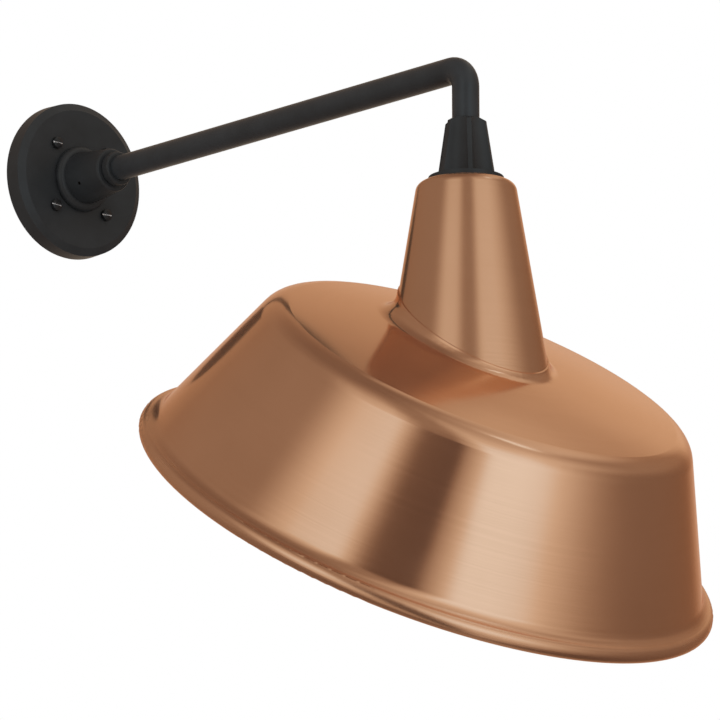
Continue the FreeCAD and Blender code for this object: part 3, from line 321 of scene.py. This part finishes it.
def skirt_angles(foot, axis, side, across):
    """The angles round the dish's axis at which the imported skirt's end has its corners."""
    dish = NODES["shade_dish"]
    found = set()
    for vertex in dish.data.vertices:
        from_foot = dish.matrix_world @ vertex.co - foot
        height = from_foot.dot(axis)
        outward = from_foot - axis * height
        if abs(height - SKIRT_END.y) < SAME_PLACE and abs(outward.length - SKIRT_END.x) < SAME_PLACE:
            found.add(round(math.atan2(outward.dot(across), outward.dot(side)), 4))
    return sorted(found)


def make_rim_flare(copper, foot, axis, side):
    """A copper ring that turns the skirt into the rim in one sweep, as spinning leaves it."""
    across = axis.cross(side)
    outline = rim_flare_outline()
    ring = bmesh.new()
    rows = []
    facing = []
    for angle in skirt_angles(foot, axis, side, across):
        outward = side * math.cos(angle) + across * math.sin(angle)
        rows.append([ring.verts.new(foot + outward * point.x + axis * point.y) for point, _ in outline])
        facing += [outward * way.x + axis * way.y for _, way in outline]
    for index, row in enumerate(rows):
        following = rows[(index + 1) % len(rows)]
        for place in range(len(outline)):
            after = (place + 1) % len(outline)
            face = ring.faces.new((row[place], following[place], following[after], row[after]))
            face.smooth = place < len(outline) - 3
    bmesh.ops.recalc_face_normals(ring, faces=ring.faces)
    mesh = bpy.data.meshes.new("rim_flare")
    ring.to_mesh(mesh)
    ring.free()
    shown = []
    for face in mesh.polygons:
        for corner in face.loop_indices:
            own = facing[mesh.loops[corner].vertex_index]
            shown.append(own if face.use_smooth else face.normal.copy())
    mesh.normals_split_custom_set(shown)
    mesh.materials.append(copper)
    flare = bpy.data.objects.new("rim_flare", mesh)
    bpy.context.scene.collection.objects.link(flare)
    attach(flare, "shade")
    return flare


def paint_all():
    out = Vector((math.sin(SHADE_TURN), -math.cos(SHADE_TURN), 0.0))
    up = Vector((0.0, 0.0, 1.0))
    pipe_foot = Vector((0.0, -ARM_REACH, 0.0))
    dish_axis = out * math.sin(DISH_TILT) + up * math.cos(DISH_TILT)
    dish_side = out * math.cos(DISH_TILT) - up * math.sin(DISH_TILT)
    dish_foot = pipe_foot - up * DISH_DROP + dish_side * DISH_OFFSET
    dish_copper = spun_copper("spun_copper_dish", dish_foot, dish_axis)
    paint("shade_dish", dish_copper)
    # The neck's copper is the dish's copper at 0.93 of its tone: a darker copy, painted shade.
    paint("shade_neck", spun_copper("spun_copper_neck", pipe_foot, up, 0.15, 0.93))
    make_rim_flare(dish_copper, dish_foot, dish_axis, dish_side)
    casting = powder_coat("powder_coat_casting", colour(0.0185, 0.02, 0.0215), 0.42)
    pipe = powder_coat("powder_coat_pipe", colour(0.022, 0.0245, 0.027), 0.34)
    for node in ("wall_plate", "arm_lock_ring", "ribbed_hub"):
        paint(node, casting)
    paint("arm_tube", pipe)
    paint("wall_screws", screw_paint_with_painted_glint())
    black = plain_metal("black_steel", colour(0.03, 0.03, 0.032), colour(0.06, 0.06, 0.062), 0.4)
    for node in ("hub_set_screw", "ribbed_hub_screw"):
        paint(node, black)
    zinc = plain_metal("zinc_steel", colour(0.5, 0.5, 0.5), colour(0.68, 0.68, 0.67), 0.34)
    for node in ("neck_nipple", "neck_washer", "neck_locknut", "lampholder_cap"):
        paint(node, zinc)
    green = plain_metal("green_steel", colour(0.05, 0.22, 0.08), colour(0.09, 0.3, 0.12), 0.35)
    paint("earth_screw", green)
    rubber = plain_solid("seal_rubber", colour(0.012, 0.012, 0.012), colour(0.03, 0.03, 0.03),
                         0.75)
    for node in ("wall_gasket", "neck_gasket"):
        paint(node, rubber)
    glaze = plain_solid("porcelain_glaze", colour(0.78, 0.78, 0.75), colour(0.86, 0.86, 0.83),
                        0.3, 60.0, 1.0)
    paint("lampholder_porcelain", glaze)
    brass = plain_metal("bright_brass", colour(0.66, 0.45, 0.17), colour(0.8, 0.58, 0.25), 0.28)
    for node in ("lampholder_shell", "lampholder_contact", "bulb_contact"):
        paint(node, brass)
    aluminium = plain_metal("bulb_aluminium", colour(0.7, 0.7, 0.69), colour(0.84, 0.84, 0.82), 0.3)
    paint("bulb_shell", aluminium)
    dark = plain_solid("insulator_glass", colour(0.008, 0.006, 0.012), colour(0.02, 0.015, 0.03),
                       0.15, 200.0, 1.0)
    paint("bulb_insulator", dark)
    glass = clear_glass()
    paint("bulb_glass", glass)
    paint("bulb_stem", glass)
    tungsten = plain_metal("tungsten", colour(0.12, 0.11, 0.1), colour(0.25, 0.23, 0.2), 0.45, 2000.0)
    paint("bulb_filament", tungsten)
    black_lead = plain_solid("black_lead", colour(0.01, 0.01, 0.01), colour(0.025, 0.025, 0.025), 0.5)
    white_lead = plain_solid("white_lead", colour(0.7, 0.7, 0.68), colour(0.8, 0.8, 0.78), 0.5)
    for end in ("arm", "tail"):
        paint(f"{end}_lead_black", black_lead)
        paint(f"{end}_lead_white", white_lead)


# Camera, lamps and floor


def make_camera():
    """The photograph's camera, which looks up at the light from the left."""
    data = bpy.data.cameras.new("photo_camera")
    data.sensor_width = 36.0
    data.lens = 193.57
    data.clip_end = 50.0
    camera = bpy.data.objects.new("photo_camera", data)
    bpy.context.scene.collection.objects.link(camera)
    azimuth = math.radians(-42.6028)
    elevation = math.radians(-11.6787)
    right = Vector((math.cos(azimuth), math.sin(azimuth), 0.0))
    back = Vector((math.sin(azimuth) * math.cos(elevation), -math.cos(azimuth) * math.cos(elevation),
                   math.sin(elevation)))
    up = back.cross(right)
    rotation = Matrix((right, up, back)).transposed()
    place = Vector((-2.0738, -2.6389, -0.8526))
    camera.matrix_world = Matrix.Translation(place) @ rotation.to_4x4()
    bpy.context.scene.camera = camera


def make_lamp(name, place, target, width, height, power):
    """An area lamp that lights the paint and the glass and isn't mirrored in the copper."""
    data = bpy.data.lights.new(name, "AREA")
    data.shape = "RECTANGLE"
    data.size = width
    data.size_y = height
    data.energy = power
    lamp = bpy.data.objects.new(name, data)
    bpy.context.scene.collection.objects.link(lamp)
    lamp.visible_glossy = False
    lamp.location = place
    lamp.rotation_euler = (Vector(target) - Vector(place)).to_track_quat("-Z", "Y").to_euler()
    return lamp


def make_world():
    """Plain light on the object, and white where the camera, gloss and glass see the background."""
    world = bpy.data.worlds.new("studio")
    bpy.context.scene.world = world
    world.use_nodes = True
    tree = world.node_tree
    background = tree.nodes["Background"]
    path = tree.nodes.new("ShaderNodeLightPath")
    seen = tree.nodes.new("ShaderNodeMath")
    seen.operation = "MAXIMUM"
    tree.links.new(path.outputs["Is Camera Ray"], seen.inputs[0])
    tree.links.new(path.outputs["Is Transmission Ray"], seen.inputs[1])
    also = tree.nodes.new("ShaderNodeMath")
    also.operation = "MAXIMUM"
    tree.links.new(seen.outputs[0], also.inputs[0])
    tree.links.new(path.outputs["Is Glossy Ray"], also.inputs[1])
    level = tree.nodes.new("ShaderNodeMapRange")
    tree.links.new(also.outputs[0], level.inputs["Value"])
    level.inputs["To Min"].default_value = 0.8
    level.inputs["To Max"].default_value = 1.0
    background.inputs["Color"].default_value = (1.0, 1.0, 1.0, 1.0)
    tree.links.new(level.outputs["Result"], background.inputs["Strength"])


def make_studio():
    """Soft boxes and a dark flag in a beige room round the light, which only its gloss sees.

    Each panel has the compass angles and heights, in degrees, at which it starts, is full,
    starts to fade and has gone, and its brightness. Compass 0 is along -Y and 90 along +X.
    """
    panels = (
        ("left box", (-104, -78, -64, -45), (-90, -80, 7, 68), 0.96),
        ("front box", (-36, -18, 2, 60), (-90, -80, -11, 86), 1.1),
        ("right box", (97, 112, 114, 190), (-90, -80, 25, 64), 0.86),
        ("high box", (-13, 37, 106, 114), (40, 54, 56, 82), 0.72),
        ("dark flag", (-62, -49, -36, -31), (-90, -80, 1, 25), 0.12),
        ("dim side", (-12, 66, 89, 148), (-90, -80, 11, 28), 0.23),
        ("small high box", (14, 21, 25, 34), (42, 52, 55, 64), 1.1),
    )
    room = 0.35
    overhead = 0.23
    underfoot = 0.54
    graph = Graph("studio_light")
    tree = graph.tree
    spot = graph.vector("NORMALIZE", graph.place())
    parts = graph.node("ShaderNodeSeparateXYZ", {"Vector": spot}).outputs
    turn = graph.math("ARCTAN2", parts["X"], graph.math("MULTIPLY", parts["Y"], -1.0))
    compass = graph.math("MULTIPLY", turn, math.degrees(1.0))
    height = graph.math("MULTIPLY", graph.math("ARCSINE", parts["Z"]), math.degrees(1.0))
    level = graph.band(height, 50.0, 75.0, room, overhead)
    for name, across, upward, brightness in panels:
        share = graph.rise(compass, across[0], across[1])
        for value, (low, high), rising in (
            (compass, across[2:], False), (height, upward[:2], True), (height, upward[2:], False),
        ):
            edge = graph.rise(value, low, high)
            share = graph.math("MULTIPLY", share, edge if rising else graph.math("SUBTRACT", 1.0, edge))
        more = graph.math("SUBTRACT", brightness, level)
        level = graph.math("MULTIPLY_ADD", more, share, level)
    level = graph.math("MULTIPLY", level, graph.band(height, -50.0, 0.0, underfoot, 1.0))
    glare = graph.rise(level, 0.8, 1.0)
    green = graph.math("MULTIPLY", graph.math("POWER", level, 1.3),
                       graph.math("MULTIPLY_ADD", glare, 0.14, 0.89))
    blue = graph.math("MULTIPLY", graph.math("POWER", level, 1.5),
                      graph.math("MULTIPLY_ADD", glare, 0.28, 0.75))
    beige = graph.node("ShaderNodeCombineColor", {"Red": level, "Green": green, "Blue": blue}).outputs[0]
    glow = graph.node("ShaderNodeEmission", {"Color": beige, "Strength": 1.0})
    tree.links.new(glow.outputs[0], graph.output.inputs["Surface"])
    mesh = bpy.data.meshes.new("studio_light")
    shell = bmesh.new()
    bmesh.ops.create_uvsphere(shell, u_segments=48, v_segments=24, radius=STUDIO_RADIUS)
    shell.to_mesh(mesh)
    shell.free()
    mesh.materials.append(graph.material)
    studio = bpy.data.objects.new("studio_light", mesh)
    bpy.context.scene.collection.objects.link(studio)
    studio.location = STUDIO_MIDDLE
    studio.visible_camera = False
    studio.visible_diffuse = False
    studio.visible_transmission = False
    studio.visible_shadow = False
    studio.visible_volume_scatter = False


def make_floor():
    """A pale matt floor, which takes the shadow and isn't mirrored in the copper."""
    size = 40.0
    level = -2.4
    mesh = bpy.data.meshes.new("floor")
    corners = [(-size, -size, level), (size, -size, level), (size, size, level), (-size, size, level)]
    mesh.from_pydata(corners, [], [(0, 1, 2, 3)])
    floor = bpy.data.objects.new("floor", mesh)
    bpy.context.scene.collection.objects.link(floor)
    graph = Graph("floor_pale")
    graph.surface(Base_Color=colour(0.96, 0.96, 0.96), Roughness=0.8, Specular_IOR_Level=0.0)
    mesh.materials.append(graph.material)
    floor.visible_glossy = False


make_camera()
make_world()
make_studio()
make_floor()
make_lamp("key", (-1.6, -2.4, 1.4), STUDIO_MIDDLE, 1.2, 1.6, 18.0)
make_lamp("fill", (2.2, -2.2, 0.6), STUDIO_MIDDLE, 1.4, 1.8, 6.0)
paint_all()
bpy.context.scene.view_settings.view_transform = "Standard"
